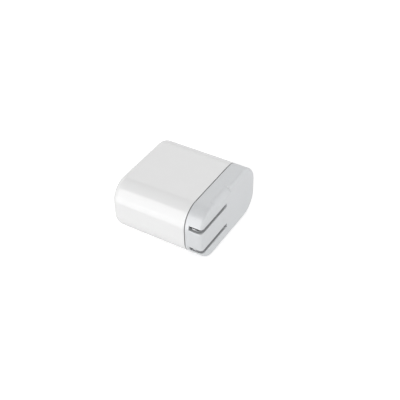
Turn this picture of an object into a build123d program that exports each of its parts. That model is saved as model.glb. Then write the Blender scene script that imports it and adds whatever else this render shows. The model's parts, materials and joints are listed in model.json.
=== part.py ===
from build123d import *
import os

# USB wall charger with a folding two-blade plug. Millimetres, +Z up.
# X runs from the port end to the prong face, Y is the width and Z the thickness.
# The origin lies under the middle of the charger, on the broad face that it rests on.

# ---------------------------------------------------------------- housing
width = 52.0
thickness = 28.6
corner_radius = 10.7
body_length = 42.0
cap_depth = 9.1
wall = 1.8
port_edge_radius = 3.2
face_edge_radius = 1.6
seam_edge_radius = 0.2
reveal_width = 0.6
reveal_depth = 1.0
lip_length = 3.0
lip_wall = 1.2
lip_clearance = 0.1

# ---------------------------------------------------------------- plug
blade_spacing = 12.7
blade_width = 6.35
blade_thickness = 1.5
blade_projection = 16.1
blade_hole_radius = 1.55
blade_hole_from_face = 11.9
blade_tip_bevel = 1.6
blade_edge_bevel = 0.35
folded_tip_inset = 0.4
rotor_radius = 2.1
rotor_key = 2.6
cam_flat_depth = 0.3
cam_length = 6.4
hub_length = 1.0
trunnion_radius = 1.2
trunnion_length = 2.0
face_wall = 1.4
rotor_clearance = 0.2
running_clearance = 0.05
slot_clearance = 0.4
end_play = 0.15
fold_clearance = 0.3
pocket_wall = 1.0
pocket_floor = 1.0
saddle_wall = 1.0

# ---------------------------------------------------------------- grip on the cap
thumb_dip_length = 14.5
thumb_dip_inset = 13.0
thumb_dip_radius = 3.5

# ---------------------------------------------------------------- retainer and springs
retainer_thickness = 1.6
retainer_play = 0.3
retainer_spine = 6.0
finger_clearance = 0.1
screw_offset = 7.0
screw_radius = 0.75
screw_head_radius = 1.7
screw_head_height = 1.1
screw_length = 6.0
screw_recess = 0.4
screw_recess_width = 0.5
boss_radius = 2.3
pilot_clearance = 0.05
strip_thickness = 0.4
strip_width = 3.2
leaf_length = 4.4
contact_gap = 0.03
window_clearance = 0.4
detent_gap = 0.05
detent_thickness = 0.3
pin_width = 2.4
pin_from_board_end = 4.0
pin_stub = 1.0
pin_clearance = 0.15

# ---------------------------------------------------------------- board
board_thickness = 1.6
board_play = 0.3
board_slide = 0.1
rail_height = 1.2
rail_reach = 1.2
sheet_thickness = 0.4
sheet_play = 0.4

# ---------------------------------------------------------------- USB receptacles
port_count = 2
port_pitch = 20.0
port_width = 13.1
port_height = 5.7
port_length = 14.0
port_metal = 0.3
port_radius = 0.8
port_clearance = 0.2
port_recess = 0.4
port_leg = 1.6
port_leg_from_mouth = 6.0
tongue_width = 11.1
tongue_thickness = 1.84
tongue_gap = 0.6
tongue_setback = 1.2
tongue_block = 4.0
tongue_fit = 0.05
contact_width = 1.2
contact_thickness = 0.2
contact_inset = 0.6
contact_places = (-3.5, -1.0, 1.0, 3.5)

# ---------------------------------------------------------------- parts on the board
spacing = 0.8
head_room = 1.85
core_depth = 8.0
core_leg = 2.4
core_centre_leg = 4.0
bobbin_wall = 0.6
bobbin_flange = 0.8
bobbin_reach = 15.4
bobbin_play = 0.1
winding_inset = 0.3
bulk_radius = 4.0
bulk_count = 2
output_height = 9.0
can_edge = 0.5
fuse_radius = 4.0
fuse_height = 7.6
choke_radius = 3.2
choke_height = 9.0
choke_waist = 0.9
choke_flange = 1.2
disc_radius = 3.5
disc_thickness = 2.6
bridge_size = (6.5, 4.7, 2.6)
opto_size = (6.5, 4.6, 3.4)
controller_size = (5.0, 4.0, 1.5)
rectifier_size = (6.0, 5.0, 1.2)
charge_chip_size = (4.0, 4.0, 0.9)
chip_edge = 0.2
chip_pitch = 8.0
small_chip_size = (1.6, 0.8, 0.6)
small_chip_pitch = 3.2
small_chip_rows = 2
small_chip_columns = 4

# ---------------------------------------------------------------- derived places
face_x = (body_length + cap_depth) / 2
port_end_x = face_x - body_length - cap_depth
seam_x = face_x - cap_depth
mid_z = thickness / 2
inner_half_width = width / 2 - wall
lip_inset = wall + lip_clearance + lip_wall

pivot_depth = face_wall + rotor_clearance + rotor_radius
pivot_x = face_x - pivot_depth
blade_reach = pivot_depth + blade_projection
pivot_y = blade_reach + folded_tip_inset - width / 2
blade_heights = (mid_z + blade_spacing / 2, mid_z - blade_spacing / 2)
slot_width = blade_thickness + 2 * slot_clearance
slot_end_y = pivot_y + blade_width / 2 + fold_clearance
pocket_depth = pivot_depth + blade_width / 2 + fold_clearance
carrier_depth = pocket_depth + pocket_floor
hub_end = blade_spacing / 2 + blade_thickness / 2 + hub_length
cavity_half_length = hub_end + end_play
trunnion_end = hub_end + trunnion_length
saddle_radius = trunnion_radius + running_clearance
saddle_end = trunnion_end + end_play
carrier_x = face_x - carrier_depth
thumb_dip_end_y = thumb_dip_inset + thumb_dip_length - width / 2
cavity_half_width = blade_width / 2 + fold_clearance
rib_half_width = cavity_half_width + saddle_wall

port_x = port_end_x + port_recess
board_top = mid_z - port_height / 2
board_bottom = board_top - board_thickness
board_start_x = port_end_x + wall + board_play
board_end_x = seam_x - lip_length - board_play
board_half_width = inner_half_width - board_play
pin_x = board_end_x - pin_from_board_end
ports_back_x = port_x + port_length
port_places = [(i - (port_count - 1) / 2) * port_pitch for i in range(port_count)]
arm_offset = (leaf_length - strip_thickness) / 2

output_radius = (port_pitch - port_width - spacing) / 2
cans_end_x = board_start_x + 2 * spacing + 4 * output_radius
core_start_x = max(ports_back_x, cans_end_x) + spacing
core_length = pin_x - spacing - core_start_x
core_height = thickness - wall - head_room - board_top
core_x = core_start_x + core_length / 2
core_window = (core_length - core_centre_leg) / 2 - core_leg
coil_height = core_height - 2 * core_leg - bobbin_play
coil_z = board_top + core_leg
side_row_y = board_half_width - spacing - rail_reach
bulk_length = side_row_y - bobbin_reach / 2 - spacing


def across(x):
    """Plane across the charger at x: local X is the width, local Y the height above its middle."""
    return Plane(origin=(x, 0, mid_z), x_dir=(0, 1, 0), z_dir=(1, 0, 0))


def level(z):
    """Horizontal plane at height z."""
    return Plane.XY.offset(z)


def outline(inset, mode=Mode.ADD):
    """The housing's rounded outline, drawn in by inset, in the sketch that is open."""
    RectangleRounded(width - 2 * inset, thickness - 2 * inset, corner_radius - inset, mode=mode)


def save(piece, node):
    """Labels a finished piece and writes it as one STEP file."""
    piece.part.label = node
    export_step(piece.part, f"parts/{node}.step")


# ---------------------------------------------------------------- housing
def make_body_shell():
    """Glossy cup: rounded port end with two openings, board rails, and a rim with a reveal step."""
    with BuildPart() as shell:
        with BuildSketch(across(port_end_x)):
            outline(0)
        extrude(amount=body_length)
        fillet(shell.faces().sort_by(Axis.X)[0].edges(), port_edge_radius)
        with BuildSketch(across(port_end_x + wall)):
            outline(wall)
        extrude(amount=body_length - wall, mode=Mode.SUBTRACT)
        floor_edges = shell.edges().filter_by_position(
            Axis.X, port_end_x + wall - lip_clearance, port_end_x + wall + lip_clearance
        )
        fillet(floor_edges, port_edge_radius - wall)
        with BuildSketch(across(seam_x - reveal_width)):
            outline(0)
            outline(reveal_depth, mode=Mode.SUBTRACT)
        extrude(amount=reveal_width, mode=Mode.SUBTRACT)
        rim = shell.faces().filter_by(Axis.X).sort_by(Axis.X)[-2]
        fillet(rim.outer_wire().edges(), seam_edge_radius)
        rail_centre = inner_half_width - rail_reach / 2 + wall / 4
        rail_levels = (
            board_bottom - rail_height / 2 - mid_z,
            board_top + board_slide + rail_height / 2 - mid_z,
        )
        with BuildSketch(across(port_end_x + wall / 2)):
            with Locations(*[(side * rail_centre, z) for side in (-1, 1) for z in rail_levels]):
                Rectangle(rail_reach + wall / 2, rail_height)
        extrude(amount=board_end_x - port_end_x - wall / 2)
        with BuildSketch(across(port_end_x)):
            with Locations(*[(y, 0) for y in port_places]):
                RectangleRounded(
                    port_width + 2 * port_clearance,
                    port_height + 2 * port_clearance,
                    port_radius + port_clearance,
                )
        extrude(amount=wall + board_play, mode=Mode.SUBTRACT)
    save(shell, "body_shell")


def thumb_dip():
    """What the dip takes off the cap's upper front edge: a square corner less a wide round."""
    back, low = face_x - thumb_dip_radius, thickness - thumb_dip_radius
    with BuildSketch(Plane.XZ.offset(-thumb_dip_end_y)) as dip:
        with Locations((back + thumb_dip_radius / 2, low + thumb_dip_radius / 2)):
            Rectangle(thumb_dip_radius, thumb_dip_radius)
        with Locations((back, low)):
            Circle(thumb_dip_radius, mode=Mode.SUBTRACT)
    return dip.sketch


def make_prong_cap():
    """Silver-grey end: slots, thumb dip, blade pockets, rotor cavity, saddles and lip."""
    with BuildPart() as cap:
        with BuildSketch(across(seam_x)):
            outline(0)
        extrude(amount=cap_depth)
        fillet(cap.faces().sort_by(Axis.X)[-1].edges(), face_edge_radius)
        fillet(cap.faces().sort_by(Axis.X)[0].edges(), seam_edge_radius)
        with BuildSketch(across(seam_x)):
            outline(lip_inset)
        extrude(amount=cap_depth - face_wall, mode=Mode.SUBTRACT)
        with BuildSketch(across(seam_x - lip_length)):
            outline(wall + lip_clearance)
            outline(lip_inset, mode=Mode.SUBTRACT)
        extrude(amount=lip_length)

        # Carrier behind the face: two pocket blocks, the rib block at the pivot, and two bosses.
        pocket_end_y = slot_end_y + pocket_wall
        pocket_length = pocket_end_y + width / 2
        with BuildSketch(across(carrier_x)):
            with Locations(*[(pocket_end_y - pocket_length / 2, z - mid_z) for z in blade_heights]):
                Rectangle(pocket_length, slot_width + 2 * pocket_wall)
            with Locations((pivot_y, 0)):
                Rectangle(2 * rib_half_width, 2 * (saddle_end + saddle_wall))
            with Locations((pivot_y - screw_offset, 0), (pivot_y + screw_offset, 0)):
                Circle(boss_radius)
            outline(wall, mode=Mode.INTERSECT)
        extrude(amount=carrier_depth - face_wall)
        with BuildSketch(across(carrier_x)):
            with Locations((pivot_y, 0)):
                Rectangle(2 * cavity_half_width, 2 * cavity_half_length)
        extrude(amount=carrier_depth - face_wall, mode=Mode.SUBTRACT)
        with BuildSketch(level(mid_z - saddle_end)):
            with Locations((pivot_x, pivot_y)):
                Circle(saddle_radius)
            with Locations(((pivot_x + carrier_x) / 2, pivot_y)):
                Rectangle(pivot_x - carrier_x, 2 * saddle_radius)
        extrude(amount=2 * saddle_end, mode=Mode.SUBTRACT)
        with BuildSketch(across(carrier_x)):
            with Locations((pivot_y - screw_offset, 0), (pivot_y + screw_offset, 0)):
                Circle(screw_radius + pilot_clearance)
        extrude(amount=carrier_depth - 2 * face_wall, mode=Mode.SUBTRACT)

        slot_length = slot_end_y + width / 2
        with BuildSketch(across(face_x)):
            with Locations(*[(slot_end_y - slot_length / 2, z - mid_z) for z in blade_heights]):
                Rectangle(slot_length, slot_width)
        extrude(amount=-pocket_depth, mode=Mode.SUBTRACT)
        extrude(thumb_dip(), amount=thumb_dip_length, mode=Mode.SUBTRACT)
    save(cap, "prong_cap")


# ---------------------------------------------------------------- plug
def make_blade(node, z):
    """One plug blade, folded along -Y: round butt about the pivot, bevelled tip, hole and key hole."""
    half, tip_y = blade_width / 2, pivot_y - blade_reach
    with BuildPart() as blade:
        with BuildSketch(level(z - blade_thickness / 2)):
            with BuildLine():
                Polyline(
                    (pivot_x + half, pivot_y),
                    (pivot_x + half, tip_y + blade_tip_bevel),
                    (pivot_x + half - blade_tip_bevel, tip_y),
                    (pivot_x - half + blade_tip_bevel, tip_y),
                    (pivot_x - half, tip_y + blade_tip_bevel),
                    (pivot_x - half, pivot_y),
                )
                ThreePointArc(
                    (pivot_x - half, pivot_y), (pivot_x, pivot_y + half), (pivot_x + half, pivot_y)
                )
            make_face()
            with Locations((pivot_x, pivot_y - pivot_depth - blade_hole_from_face)):
                Circle(blade_hole_radius, mode=Mode.SUBTRACT)
            with Locations((pivot_x, pivot_y)):
                Rectangle(rotor_key, rotor_key, mode=Mode.SUBTRACT)
        extrude(amount=blade_thickness)
        tip_edges = blade.edges().group_by(Axis.Y)[0].filter_by(Axis.X)
        chamfer(tip_edges, blade_edge_bevel)
    save(blade, node)


def make_prong_rotor():
    """Moulded carrier on the fold axis: barrel with two cam flats, keys for the blades, trunnions."""
    with BuildPart() as rotor:
        with BuildSketch(level(mid_z - hub_end)):
            with Locations((pivot_x, pivot_y)):
                Circle(rotor_radius)
        extrude(amount=2 * hub_end)
        for z in blade_heights:
            with BuildSketch(level(z - blade_thickness / 2)):
                with Locations((pivot_x, pivot_y)):
                    Circle(rotor_radius)
                    Rectangle(rotor_key, rotor_key, mode=Mode.SUBTRACT)
            extrude(amount=blade_thickness, mode=Mode.SUBTRACT)
        with BuildSketch(level(mid_z - cam_length / 2)):
            with Locations((pivot_x - rotor_radius, pivot_y)):
                Rectangle(2 * cam_flat_depth, 2 * rotor_radius)
            with Locations((pivot_x, pivot_y + rotor_radius)):
                Rectangle(2 * rotor_radius, 2 * cam_flat_depth)
        extrude(amount=cam_length, mode=Mode.SUBTRACT)
        with BuildSketch(level(mid_z - trunnion_end)):
            with Locations((pivot_x, pivot_y)):
                Circle(trunnion_radius)
        extrude(amount=trunnion_length)
        with BuildSketch(level(mid_z + hub_end)):
            with Locations((pivot_x, pivot_y)):
                Circle(trunnion_radius)
        extrude(amount=trunnion_length)
    save(rotor, "prong_rotor")


def make_prong_retainer():
    """Screwed bar behind the rotor, with two fingers that close the saddles on the trunnions."""
    window = (leaf_length + 2 * window_clearance, strip_width + 2 * window_clearance)
    with BuildPart() as retainer:
        with BuildSketch(across(carrier_x)):
            with Locations((pivot_y, 0)):
                Rectangle(2 * (screw_offset + boss_radius), retainer_spine)
                Rectangle(2 * rib_half_width, 2 * (mid_z - lip_inset - retainer_play))
            with Locations(*[(pivot_y, z - mid_z) for z in blade_heights]):
                Rectangle(*window, mode=Mode.SUBTRACT)
            with Locations((pivot_y - screw_offset, 0), (pivot_y + screw_offset, 0)):
                Circle(screw_radius + 2 * pilot_clearance, mode=Mode.SUBTRACT)
        extrude(amount=-retainer_thickness)
        finger_length = trunnion_length - 2 * finger_clearance
        finger_z = hub_end + end_play + trunnion_length / 2
        with BuildSketch(across(carrier_x)):
            with Locations((pivot_y, finger_z), (pivot_y, -finger_z)):
                Rectangle(2 * (saddle_radius - finger_clearance), finger_length)
        extrude(amount=pivot_x - carrier_x - trunnion_radius / 2)
        with BuildSketch(level(mid_z - saddle_end)):
            with Locations((pivot_x, pivot_y)):
                Circle(saddle_radius)
        extrude(amount=2 * saddle_end, mode=Mode.SUBTRACT)
    save(retainer, "prong_retainer")


def make_retainer_screws():
    """Two pan-head screws that hold the retainer on its bosses."""
    back_x = carrier_x - retainer_thickness
    places = [(pivot_y - screw_offset, 0), (pivot_y + screw_offset, 0)]
    with BuildPart() as screws:
        with BuildSketch(across(back_x)):
            with Locations(*places):
                Circle(screw_radius)
        extrude(amount=screw_length)
        with BuildSketch(across(back_x)):
            with Locations(*places):
                Circle(screw_head_radius)
        extrude(amount=-screw_head_height)
        with BuildSketch(across(back_x - screw_head_height)):
            with Locations(*places):
                Rectangle(2 * screw_head_radius - screw_recess_width, screw_recess_width)
                Rectangle(screw_recess_width, 2 * screw_head_radius - screw_recess_width)
        extrude(amount=screw_recess, mode=Mode.SUBTRACT)
    save(screws, "retainer_screws")


def make_contact_spring(node, z, arm_y, pin_end):
    """Bent strip: a leaf behind one blade's round butt, and an arm whose pin goes into the board."""
    leaf_x = face_x - pivot_depth - blade_width / 2 - contact_gap
    arm_top, arm_low = z + strip_width / 2, z - strip_width / 2
    pin_low, pin_high = min(pin_end, arm_low), max(pin_end, arm_top)
    with BuildPart() as spring:
        with BuildSketch(across(leaf_x - strip_thickness)):
            with Locations((pivot_y, z - mid_z)):
                Rectangle(leaf_length, strip_width)
        extrude(amount=strip_thickness)
        with BuildSketch(Plane.XZ.offset(-arm_y - strip_thickness / 2)):
            with Locations(((leaf_x + pin_x) / 2, z)):
                Rectangle(leaf_x - pin_x, strip_width)
            with Locations((pin_x + pin_width / 2, (pin_low + pin_high) / 2)):
                Rectangle(pin_width, pin_high - pin_low)
        extrude(amount=strip_thickness)
    save(spring, node)


def make_detent_spring():
    """U-shaped leaf in front of the retainer: the rotor's flats face it folded and open."""
    leaf_x = pivot_x - rotor_radius - detent_gap
    half = cavity_half_width - fold_clearance
    with BuildPart() as spring:
        with BuildSketch(level(mid_z - cam_length / 2 + detent_thickness)):
            with Locations(((leaf_x + carrier_x) / 2, pivot_y)):
                Rectangle(leaf_x - carrier_x, 2 * half)
            with Locations(((leaf_x - detent_thickness + carrier_x) / 2, pivot_y)):
                Rectangle(
                    leaf_x - detent_thickness - carrier_x, 2 * (half - detent_thickness), mode=Mode.SUBTRACT
                )
        extrude(amount=cam_length - 2 * detent_thickness)
    save(spring, "detent_spring")


# ---------------------------------------------------------------- board and receptacles
def make_main_board():
    """Circuit board in the shell's rails, slotted for the contact pins and the receptacles' legs."""
    slot = (pin_width + 2 * pin_clearance, strip_thickness + 2 * pin_clearance)
    leg_slot = (port_leg + 2 * pin_clearance, port_metal + 2 * pin_clearance)
    leg_offset = (port_width - port_metal) / 2
    legs = [(port_x + port_leg_from_mouth, y + side * leg_offset) for y in port_places for side in (-1, 1)]
    with BuildPart() as board:
        with BuildSketch(level(board_bottom)):
            with Locations(((board_start_x + board_end_x) / 2, 0)):
                Rectangle(board_end_x - board_start_x, 2 * board_half_width)
            with Locations(*[(pin_x + pin_width / 2, pivot_y + side * arm_offset) for side in (-1, 1)]):
                Rectangle(*slot, mode=Mode.SUBTRACT)
            with Locations(*legs):
                Rectangle(*leg_slot, mode=Mode.SUBTRACT)
        extrude(amount=board_thickness)
        port_corners = board.edges().filter_by(Axis.Z).group_by(Axis.X)[0]
        fillet(port_corners, port_edge_radius - wall + board_play)
    save(board, "main_board")


def make_insulation_sheet():
    """Thin film on the shell's floor, under the board's solder side."""
    start_x = port_end_x + port_edge_radius + sheet_play
    end_x = seam_x - lip_length - sheet_play
    with BuildPart() as sheet:
        with BuildSketch(level(wall)):
            with Locations(((start_x + end_x) / 2, 0)):
                Rectangle(end_x - start_x, width - 2 * corner_radius - 2 * sheet_play)
        extrude(amount=sheet_thickness)
    save(sheet, "insulation_sheet")


def make_usb_shell(node, y):
    """Folded metal shell of one receptacle, with a leg at each side into the board."""
    with BuildPart() as shell:
        with BuildSketch(across(port_x)):
            with Locations((y, 0)):
                RectangleRounded(port_width, port_height, port_radius)
                RectangleRounded(
                    port_width - 2 * port_metal,
                    port_height - 2 * port_metal,
                    port_radius - port_metal,
                    mode=Mode.SUBTRACT,
                )
        extrude(amount=port_length)
        leg_low = board_bottom - pin_stub
        leg_offset = (port_width - port_metal) / 2
        with BuildSketch(level(leg_low)):
            with Locations(*[(port_x + port_leg_from_mouth, y + side * leg_offset) for side in (-1, 1)]):
                Rectangle(port_leg, port_metal)
        extrude(amount=mid_z - leg_low)
    save(shell, node)


def tongue_middle():
    """Height of the tongue's middle above the receptacle's middle."""
    return port_height / 2 - port_metal - tongue_gap - tongue_thickness / 2


def make_usb_tongue(node, y):
    """Plastic block at the receptacle's back, with the tongue that carries the contacts."""
    block_x = port_x + port_length - tongue_block
    tip_x = port_x + tongue_setback
    shrink = 2 * (port_metal + tongue_fit)
    with BuildPart() as tongue:
        with BuildSketch(across(block_x)):
            with Locations((y, 0)):
                RectangleRounded(
                    port_width - shrink, port_height - shrink, port_radius - port_metal - tongue_fit
                )
        extrude(amount=tongue_block)
        with BuildSketch(across(tip_x)):
            with Locations((y, tongue_middle())):
                Rectangle(tongue_width, tongue_thickness)
        extrude(amount=block_x - tip_x)
    save(tongue, node)


def make_usb_contacts(node, y):
    """Four gilt strips under the tongue."""
    tip_x = port_x + tongue_setback + contact_inset
    end_x = port_x + port_length - tongue_block
    low = tongue_middle() - tongue_thickness / 2 - contact_thickness / 2
    with BuildPart() as contacts:
        with BuildSketch(across(tip_x)):
            with Locations(*[(y + place, low) for place in contact_places]):
                Rectangle(contact_width, contact_thickness)
        extrude(amount=end_x - tip_x)
    save(contacts, node)


# ---------------------------------------------------------------- parts on the board
def make_transformer():
    """Ferrite core with its windows along X, the bobbin on its middle leg, and the winding."""
    with BuildPart() as core:
        with BuildSketch(Plane.XZ.offset(-core_depth / 2)):
            with Locations((core_x, board_top + core_height / 2)):
                Rectangle(core_length, core_height)
            window_x = (core_centre_leg + core_window) / 2
            middle_z = board_top + core_height / 2
            with Locations((core_x - window_x, middle_z), (core_x + window_x, middle_z)):
                Rectangle(core_window, core_height - 2 * core_leg, mode=Mode.SUBTRACT)
        extrude(amount=core_depth)
    save(core, "transformer_core")

    hole = (core_centre_leg + 2 * bobbin_play, core_depth + 2 * bobbin_play)
    tube = (hole[0] + 2 * bobbin_wall, hole[1] + 2 * bobbin_wall)
    flange = (core_centre_leg + 2 * core_window - 2 * bobbin_play, bobbin_reach)
    with BuildPart() as bobbin:
        for z, height, size in (
            (coil_z, coil_height, tube),
            (coil_z, bobbin_flange, flange),
            (coil_z + coil_height - bobbin_flange, bobbin_flange, flange),
        ):
            with BuildSketch(level(z)):
                with Locations((core_x, 0)):
                    Rectangle(*size)
                    Rectangle(*hole, mode=Mode.SUBTRACT)
            extrude(amount=height)
    save(bobbin, "transformer_bobbin")

    coil = (flange[0] - 2 * winding_inset, flange[1] - 2 * winding_inset)
    with BuildPart() as winding:
        with BuildSketch(level(coil_z + bobbin_flange)):
            with Locations((core_x, 0)):
                RectangleRounded(*coil, radius=core_leg / 2)
                Rectangle(*tube, mode=Mode.SUBTRACT)
        extrude(amount=coil_height - 2 * bobbin_flange)
    save(winding, "transformer_winding")


def make_bulk_capacitors():
    """Mains capacitors: cans lying across the board beside the transformer."""
    first_x, pitch = ports_back_x + spacing + bulk_radius, 2 * bulk_radius + spacing
    places = [(first_x + i * pitch, board_top + bulk_radius) for i in range(bulk_count)]
    with BuildPart() as cans:
        with BuildSketch(Plane.XZ.offset(-side_row_y)):
            with Locations(*places):
                Circle(bulk_radius)
        extrude(amount=bulk_length)
        fillet(cans.edges().filter_by(GeomType.CIRCLE), can_edge)
    save(cans, "bulk_capacitors")


def make_output_capacitors():
    """Low-voltage capacitors: two cans standing between the receptacles."""
    first_x = board_start_x + spacing + output_radius
    places = [(first_x, 0), (first_x + 2 * output_radius + spacing, 0)]
    with BuildPart() as cans:
        with BuildSketch(level(board_top)):
            with Locations(*places):
                Circle(output_radius)
        extrude(amount=output_height)
        fillet(cans.edges().group_by(Axis.Z)[-1], can_edge)
    save(cans, "output_capacitors")


def make_fuse():
    """Round moulded fuse, standing at the board's mains corner."""
    x, y = board_end_x - spacing - fuse_radius, fuse_radius - side_row_y
    with BuildPart() as fuse:
        with BuildSketch(level(board_top)):
            with Locations((x, y)):
                Circle(fuse_radius)
        extrude(amount=fuse_height)
        fillet(fuse.edges().group_by(Axis.Z)[-1], can_edge)
    save(fuse, "fuse")


def make_line_choke():
    """Drum core of the mains filter, standing beside the fuse."""
    x = board_end_x - 2 * spacing - 2 * fuse_radius - choke_radius
    y = choke_radius - side_row_y
    waist = choke_radius - choke_waist
    with BuildPart() as choke:
        with BuildSketch(level(board_top)):
            with Locations((x, y)):
                Circle(choke_radius)
        extrude(amount=choke_height)
        with BuildSketch(level(board_top + choke_flange)):
            with Locations((x, y)):
                Circle(choke_radius)
                Circle(waist, mode=Mode.SUBTRACT)
        extrude(amount=choke_height - 2 * choke_flange, mode=Mode.SUBTRACT)
    save(choke, "line_choke")


def make_y_capacitor():
    """Ceramic disc on edge between the mains side and the port side."""
    x = ports_back_x + spacing
    with BuildPart() as disc:
        with BuildSketch(across(x)):
            with Locations((disc_radius - side_row_y, board_top + disc_radius - mid_z)):
                Circle(disc_radius)
        extrude(amount=disc_thickness)
        fillet(disc.edges().filter_by(GeomType.CIRCLE), can_edge)
    save(disc, "y_capacitor")


def make_chip(node, x, y, size):
    """Moulded chip hanging from the board's underside."""
    with BuildPart() as chip:
        with BuildSketch(level(board_bottom)):
            with Locations((x, y)):
                Rectangle(size[0], size[1])
        extrude(amount=-size[2])
        chamfer(chip.edges().filter_by(Axis.Z), chip_edge)
    save(chip, node)


def make_chips():
    """Surface-mounted chips under the board, from the mains side to the port side."""
    make_chip("bridge_rectifier", core_x, 2 * chip_pitch, bridge_size)
    make_chip("power_controller", core_x, chip_pitch, controller_size)
    make_chip("sync_rectifier", core_x, -chip_pitch, rectifier_size)
    make_chip("optocoupler", core_x, -2 * chip_pitch, opto_size)
    make_chip("usb_charge_chip", port_x + port_length / 2, 0, charge_chip_size)


def make_small_parts():
    """Small resistors and capacitors under the board, in rows beside the controller."""
    with BuildPart() as parts:
        with BuildSketch(level(board_bottom)):
            with Locations((core_x, 0)):
                with GridLocations(small_chip_pitch, small_chip_pitch, small_chip_columns, small_chip_rows):
                    Rectangle(small_chip_size[0], small_chip_size[1])
        extrude(amount=-small_chip_size[2])
    save(parts, "small_parts")


os.makedirs("parts", exist_ok=True)
make_body_shell()
make_prong_cap()
make_blade("prong_blade_upper", blade_heights[0])
make_blade("prong_blade_lower", blade_heights[1])
make_prong_rotor()
make_prong_retainer()
make_retainer_screws()
make_contact_spring("contact_spring_upper", blade_heights[0], pivot_y + arm_offset, board_bottom - pin_stub)
make_contact_spring("contact_spring_lower", blade_heights[1], pivot_y - arm_offset, board_top + pin_stub)
make_detent_spring()
make_main_board()
make_insulation_sheet()
for side, port_y in zip(("right", "left"), port_places):
    make_usb_shell(f"usb_shell_{side}", port_y)
    make_usb_tongue(f"usb_tongue_{side}", port_y)
    make_usb_contacts(f"usb_contacts_{side}", port_y)
make_transformer()
make_bulk_capacitors()
make_output_capacitors()
make_fuse()
make_line_choke()
make_y_capacitor()
make_chips()
make_small_parts()
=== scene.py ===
"""USB wall charger with a folding two-blade plug: its finishes and visible meshes, around the CAD frame."""

import sys

import json
import logging
from dataclasses import dataclass
from enum import Enum
from math import cos, pi, radians, sin

import bmesh
import bpy
from mathutils import Matrix, Vector


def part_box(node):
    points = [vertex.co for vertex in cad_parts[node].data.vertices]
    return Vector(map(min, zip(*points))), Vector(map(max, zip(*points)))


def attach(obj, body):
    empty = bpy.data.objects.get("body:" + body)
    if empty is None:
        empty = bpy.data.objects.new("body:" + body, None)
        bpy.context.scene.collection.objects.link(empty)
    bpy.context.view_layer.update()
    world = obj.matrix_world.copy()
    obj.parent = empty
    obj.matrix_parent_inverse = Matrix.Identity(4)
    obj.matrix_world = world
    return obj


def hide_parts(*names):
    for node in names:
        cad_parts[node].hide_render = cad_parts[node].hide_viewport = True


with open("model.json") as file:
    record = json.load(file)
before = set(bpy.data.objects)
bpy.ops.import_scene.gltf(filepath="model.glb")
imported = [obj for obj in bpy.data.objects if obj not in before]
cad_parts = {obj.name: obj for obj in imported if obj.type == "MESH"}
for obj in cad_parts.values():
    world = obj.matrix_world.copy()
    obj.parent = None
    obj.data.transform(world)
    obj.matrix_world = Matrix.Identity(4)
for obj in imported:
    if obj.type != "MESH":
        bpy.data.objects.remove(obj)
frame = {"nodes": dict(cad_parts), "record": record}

LOG = logging.getLogger("charger")
MM = 0.001
# How far a body that cuts stands past what it cuts.
CLEAR = 1.0 * MM
# Two places that are closer than this are one.
NEAR = 0.01 * MM
# An edge runs along an axis where this share of its length does.
STRAIGHT = 0.999
# Places along one axis that differ by less than this lie in one plane.
FLAT = 0.001 * MM
# Two faces that turn by more than this meet in a sharp edge.
SHARP = radians(35)
# A face looks along an axis where its normal has more than this of it.
FACING = 0.5
# A USB-A receptacle's metal shell, from its lower wall to its upper one.
USB_HEIGHT = 5.7 * MM
# How far off a facing wall may be and still darken a surface with painted shade.
GAP_REACH = 1.2 * MM
# The share of open space over a surface at which its painted shade is darkest, and from which it has its full
# colour.
GAP_CLOSED = 0.15
GAP_OPEN = 0.9
GAP_SAMPLES = 8
SLOTS = {part["node"]: part["material_slot"] for part in frame["record"]["subparts"]}


class Body(Enum):
    """The frame's moving bodies."""

    CHARGER = "charger"
    PRONGS = "prongs"


# ---------------------------------------------------------------- colours and nodes
def linear(hex_colour: str, brightness: float = 1.0) -> tuple[float, float, float, float]:
    """Turns an sRGB hex colour into linear values.

    Args:
        hex_colour: six hex digits.
        brightness: a factor on all three, each of which stops at 1.

    Returns:
        Red, green and blue, linear, and an alpha of 1.
    """
    channels = [int(hex_colour[i : i + 2], 16) / 255 for i in (0, 2, 4)]
    values = [c / 12.92 if c <= 0.04045 else ((c + 0.055) / 1.055) ** 2.4 for c in channels]
    red, green, blue = (min(value * brightness, 1.0) for value in values)
    return red, green, blue, 1.0


def add_node(
    tree: bpy.types.NodeTree, kind: str, settings: dict | None = None, links: dict | None = None
) -> bpy.types.Node:
    """Adds one shader node.

    Args:
        tree: the material's node tree.
        kind: the node's type name, without the ShaderNode prefix.
        settings: attribute names, or input names, to values.
        links: input names to the output sockets that feed them.

    Returns:
        The new node.
    """
    node = tree.nodes.new("ShaderNode" + kind)
    for name, value in (settings or {}).items():
        if name in node.inputs:
            node.inputs[name].default_value = value
        else:
            setattr(node, name, value)
    for name, socket in (links or {}).items():
        tree.links.new(socket, node.inputs[name])
    return node


def new_material(name: str) -> tuple[bpy.types.Material, bpy.types.NodeTree]:
    """Makes an empty node material.

    Args:
        name: the material's name.

    Returns:
        The material and its cleared node tree.
    """
    material = bpy.data.materials.new(name)
    material.use_nodes = True
    material.node_tree.nodes.clear()
    return material, material.node_tree


def close_material(tree: bpy.types.NodeTree, shader: bpy.types.Node) -> None:
    """Joins a shader to the material output.

    Args:
        tree: the material's node tree.
        shader: the node whose BSDF output is the surface.
    """
    add_node(tree, "OutputMaterial", links={"Surface": shader.outputs["BSDF"]})


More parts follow.
